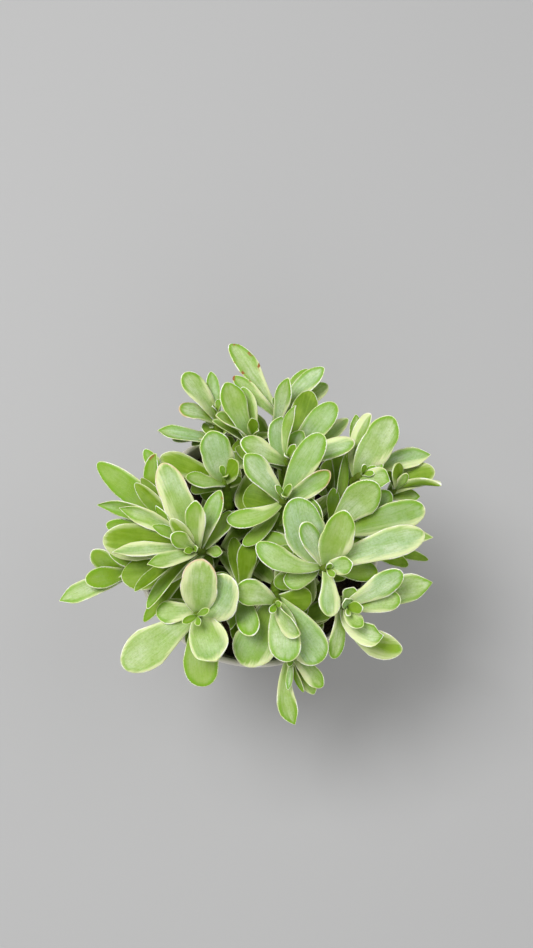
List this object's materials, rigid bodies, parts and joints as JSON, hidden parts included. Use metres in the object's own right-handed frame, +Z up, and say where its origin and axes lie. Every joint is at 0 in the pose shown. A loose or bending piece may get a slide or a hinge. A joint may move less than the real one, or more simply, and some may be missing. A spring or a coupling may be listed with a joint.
{
  "type": "potted crassula",
  "caption": "Round tapered pot of dark soil with leafy succulent stems whose fleshy, pale-edged, spoon-shaped leaves spread past the rim.",
  "frame": {"origin": "middle of the pot's flat base, on the surface it stands on", "axes": "+Z up along the pot's axis, +Y towards the top of the picture, +X to its right"},
  "size_m": [0.1472, 0.1498, 0.1332],
  "materials": {
    "glazed_pot": "off-white glaze, satin to gloss",
    "potting_soil": "dark, damp, matt and grainy",
    "leaf": "grey-green waxy leaf with cream margins"
  },
  "bodies": {
    "root": {"pot": "glazed_pot", "soil": "potting_soil", "shoot_west": "leaf", "shoot_far_west": "leaf", "shoot_south_west": "leaf", "shoot_pit": "leaf", "shoot_south": "leaf", "shoot_spill": "leaf", "shoot_south_east": "leaf", "shoot_east": "leaf", "shoot_east_low": "leaf", "shoot_middle": "leaf", "shoot_north": "leaf", "shoot_far_north": "leaf", "shoot_north_east": "leaf", "shoot_far_east": "leaf", "shoot_north_middle": "leaf", "shoot_north_west": "leaf", "shoot_inner": "leaf"}
  },
  "joints": []
}
